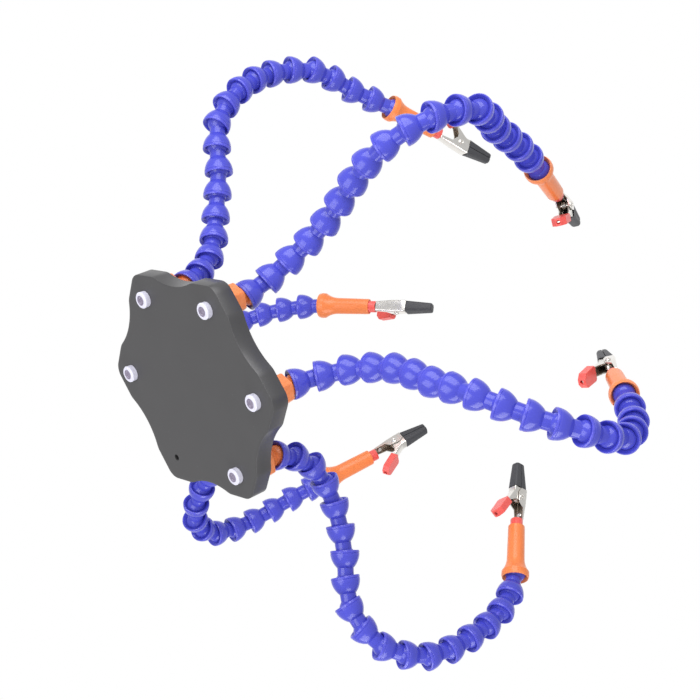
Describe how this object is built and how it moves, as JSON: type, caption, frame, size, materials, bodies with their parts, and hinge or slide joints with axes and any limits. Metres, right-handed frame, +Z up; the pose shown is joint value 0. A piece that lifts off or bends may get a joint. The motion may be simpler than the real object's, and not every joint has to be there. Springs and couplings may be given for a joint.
{
  "type": "helping hands clamp",
  "caption": "Helping hands: a lobed metal base on rubber feet with flexible arms of snap-together ball-and-socket links, each ending in a nozzle that holds a spring clip.",
  "frame": {"origin": "centre of the base plate's flat underside", "axes": "+Z up along the arms' fittings, +X towards the lobe of the first arm"},
  "size_m": [0.3551, 0.3521, 0.2764],
  "materials": {
    "black_anodised": "satin black anodised",
    "clear_rubber": "clear, glossy",
    "blue_acetal": "glossy moulded",
    "orange_acetal": "semi-gloss moulded",
    "nickel": "nickel-plated sheet steel",
    "red_vinyl": "soft dipped vinyl",
    "black_rubber": "matte"
  },
  "bodies": {
    "base": {"base_plate": "black_anodised", "foot_1": "clear_rubber", "foot_2": "clear_rubber", "foot_3": "clear_rubber", "foot_4": "clear_rubber", "foot_6": "clear_rubber", "arm_1_fitting": "orange_acetal", "arm_2_fitting": "orange_acetal", "arm_3_fitting": "orange_acetal", "arm_4_fitting": "orange_acetal", "arm_5_fitting": "orange_acetal", "arm_6_fitting": "orange_acetal"},
    "arm_1_lower": {"arm_1_lower_links": "blue_acetal"},
    "arm_1_upper": {"arm_1_upper_links": "blue_acetal"},
    "arm_1_wrist": {"arm_1_nozzle": "orange_acetal", "arm_1_clip_fixed_jaw": "nickel", "arm_1_clip_pivot_pin": "nickel", "arm_1_clip_spring": "nickel"},
    "arm_1_jaw": {"arm_1_clip_moving_jaw": "nickel", "arm_1_clip_lever_grip": "red_vinyl"},
    "arm_2_lower": {"arm_2_lower_links": "blue_acetal"},
    "arm_2_upper": {"arm_2_upper_links": "blue_acetal"},
    "arm_2_wrist": {"arm_2_nozzle": "orange_acetal", "arm_2_clip_fixed_jaw": "nickel", "arm_2_clip_pivot_pin": "nickel", "arm_2_clip_spring": "nickel"},
    "arm_2_jaw": {"arm_2_clip_moving_jaw": "nickel", "arm_2_clip_lever_grip": "red_vinyl"},
    "arm_3_lower": {"arm_3_lower_links": "blue_acetal"},
    "arm_3_upper": {"arm_3_upper_links": "blue_acetal"},
    "arm_3_wrist": {"arm_3_nozzle": "orange_acetal", "arm_3_clip_fixed_jaw": "nickel", "arm_3_clip_pivot_pin": "nickel", "arm_3_clip_spring": "nickel"},
    "arm_3_jaw": {"arm_3_clip_moving_jaw": "nickel", "arm_3_clip_lever_grip": "red_vinyl"},
    "arm_4_lower": {"arm_4_lower_links": "blue_acetal"},
    "arm_4_upper": {"arm_4_upper_links": "blue_acetal"},
    "arm_4_wrist": {"arm_4_nozzle": "orange_acetal", "arm_4_clip_fixed_jaw": "nickel", "arm_4_clip_pivot_pin": "nickel", "arm_4_clip_spring": "nickel"},
    "arm_4_jaw": {"arm_4_clip_moving_jaw": "nickel", "arm_4_clip_lever_grip": "red_vinyl"},
    "arm_5_lower": {"arm_5_lower_links": "blue_acetal"},
    "arm_5_upper": {"arm_5_upper_links": "blue_acetal"},
    "arm_5_wrist": {"arm_5_nozzle": "orange_acetal", "arm_5_clip_fixed_jaw": "nickel", "arm_5_clip_pivot_pin": "nickel", "arm_5_clip_spring": "nickel"},
    "arm_5_jaw": {"arm_5_clip_moving_jaw": "nickel", "arm_5_clip_lever_grip": "red_vinyl"},
    "arm_6_lower": {"arm_6_lower_links": "blue_acetal"},
    "arm_6_upper": {"arm_6_upper_links": "blue_acetal"},
    "arm_6_wrist": {"arm_6_nozzle": "orange_acetal", "arm_6_clip_fixed_jaw": "nickel", "arm_6_clip_pivot_pin": "nickel", "arm_6_clip_spring": "nickel"},
    "arm_6_jaw": {"arm_6_clip_moving_jaw": "nickel", "arm_6_clip_lever_grip": "red_vinyl"}
  },
  "joints": [
    {"name": "arm_1_shoulder_swivel", "type": "hinge", "parent": "base", "child": "arm_1_lower", "pos_m": [0.052, 0, 0.028], "axis": [0, 0, 1], "range_deg": [-20, 20]},
    {"name": "arm_1_elbow_tilt", "type": "hinge", "parent": "arm_1_lower", "child": "arm_1_upper", "pos_m": [0.12084, -0.00147, 0.09075], "axis": [0.1195, -0.9928, 0], "range_deg": [-15, 15]},
    {"name": "arm_1_wrist_tilt", "type": "hinge", "parent": "arm_1_upper", "child": "arm_1_wrist", "pos_m": [0.10685, 0.00595, 0.21712], "axis": [-0.0454, 0.999, 0], "range_deg": [-12, 12]},
    {"name": "arm_1_clip_jaw", "type": "hinge", "parent": "arm_1_wrist", "child": "arm_1_jaw", "pos_m": [0.0742, 0.00446, 0.25295], "axis": [-0.2102, 0.9658, -0.1516], "range_deg": [0, 25], "stiffness_Nm_per_rad": 0.05, "springref_deg": -28.65},
    {"name": "arm_2_shoulder_swivel", "type": "hinge", "parent": "base", "child": "arm_2_lower", "pos_m": [0.026, 0.04503, 0.028], "axis": [0, 0, 1], "range_deg": [-20, 20]},
    {"name": "arm_2_elbow_tilt", "type": "hinge", "parent": "arm_2_lower", "child": "arm_2_upper", "pos_m": [0.05108, 0.12088, 0.07388], "axis": [0.9896, -0.144, 0], "range_deg": [-15, 15]},
    {"name": "arm_2_wrist_tilt", "type": "hinge", "parent": "arm_2_upper", "child": "arm_2_wrist", "pos_m": [0.01773, 0.11362, 0.1865], "axis": [-0.8402, 0.5423, 0], "range_deg": [-12, 12]},
    {"name": "arm_2_clip_jaw", "type": "hinge", "parent": "arm_2_wrist", "child": "arm_2_jaw", "pos_m": [-0.00054, 0.08533, 0.2214], "axis": [0.3181, -0.811, -0.491], "range_deg": [0, 25], "stiffness_Nm_per_rad": 0.05, "springref_deg": -28.65},
    {"name": "arm_3_shoulder_swivel", "type": "hinge", "parent": "base", "child": "arm_3_lower", "pos_m": [-0.026, 0.04503, 0.028], "axis": [0, 0, 1], "range_deg": [-20, 20]},
    {"name": "arm_3_elbow_tilt", "type": "hinge", "parent": "arm_3_lower", "child": "arm_3_upper", "pos_m": [-0.06772, 0.11699, 0.05625], "axis": [0.7983, 0.6023, 0], "range_deg": [-15, 15]},
    {"name": "arm_3_wrist_tilt", "type": "hinge", "parent": "arm_3_upper", "child": "arm_3_wrist", "pos_m": [-0.10843, 0.12214, 0.15198], "axis": [-0.8872, -0.4613, 0], "range_deg": [-12, 12]},
    {"name": "arm_3_clip_jaw", "type": "hinge", "parent": "arm_3_wrist", "child": "arm_3_jaw", "pos_m": [-0.09205, 0.09064, 0.18501], "axis": [0.8977, 0.4399, -0.0255], "range_deg": [0, 25], "stiffness_Nm_per_rad": 0.05, "springref_deg": -28.65},
    {"name": "arm_4_shoulder_swivel", "type": "hinge", "parent": "base", "child": "arm_4_lower", "pos_m": [-0.052, 0, 0.028], "axis": [0, 0, 1], "range_deg": [-20, 20]},
    {"name": "arm_4_elbow_tilt", "type": "hinge", "parent": "arm_4_lower", "child": "arm_4_upper", "pos_m": [-0.12852, -0.02913, 0.04886], "axis": [-0.1409, 0.99, 0], "range_deg": [-15, 15]},
    {"name": "arm_4_wrist_tilt", "type": "hinge", "parent": "arm_4_upper", "child": "arm_4_wrist", "pos_m": [-0.1705, -0.02108, 0.15161], "axis": [-0.1344, -0.9909, 0], "range_deg": [-12, 12]},
    {"name": "arm_4_clip_jaw", "type": "hinge", "parent": "arm_4_wrist", "child": "arm_4_jaw", "pos_m": [-0.13466, -0.02594, 0.18393], "axis": [-0.0411, 0.9803, 0.193], "range_deg": [0, 25], "stiffness_Nm_per_rad": 0.05, "springref_deg": -28.65},
    {"name": "arm_5_shoulder_swivel", "type": "hinge", "parent": "base", "child": "arm_5_lower", "pos_m": [-0.026, -0.04503, 0.028], "axis": [0, 0, 1], "range_deg": [-20, 20]},
    {"name": "arm_5_elbow_tilt", "type": "hinge", "parent": "arm_5_lower", "child": "arm_5_upper", "pos_m": [-0.03622, -0.12295, 0.06269], "axis": [-0.9286, 0.3712, 0], "range_deg": [-15, 15]},
    {"name": "arm_5_wrist_tilt", "type": "hinge", "parent": "arm_5_upper", "child": "arm_5_wrist", "pos_m": [-0.069, -0.14563, 0.15674], "axis": [1, 0, 0], "range_deg": [-12, 12]},
    {"name": "arm_5_clip_jaw", "type": "hinge", "parent": "arm_5_wrist", "child": "arm_5_jaw", "pos_m": [-0.069, -0.12682, 0.20145], "axis": [-0.6157, -0.7263, 0.3057], "range_deg": [0, 25], "stiffness_Nm_per_rad": 0.05, "springref_deg": -28.65},
    {"name": "arm_6_shoulder_swivel", "type": "hinge", "parent": "base", "child": "arm_6_lower", "pos_m": [0.026, -0.04503, 0.028], "axis": [0, 0, 1], "range_deg": [-20, 20]},
    {"name": "arm_6_elbow_tilt", "type": "hinge", "parent": "arm_6_lower", "child": "arm_6_upper", "pos_m": [0.00802, -0.11585, 0.08388], "axis": [-0.9705, -0.2413, 0], "range_deg": [-15, 15]},
    {"name": "arm_6_wrist_tilt", "type": "hinge", "parent": "arm_6_upper", "child": "arm_6_wrist", "pos_m": [0.03039, -0.11004, 0.19172], "axis": [0.8255, 0.5644, 0], "range_deg": [-12, 12]},
    {"name": "arm_6_clip_jaw", "type": "hinge", "parent": "arm_6_wrist", "child": "arm_6_jaw", "pos_m": [0.00611, -0.07454, 0.21413], "axis": [0.8163, 0.2212, 0.5337], "range_deg": [0, 25], "stiffness_Nm_per_rad": 0.05, "springref_deg": -28.65}
  ]
}
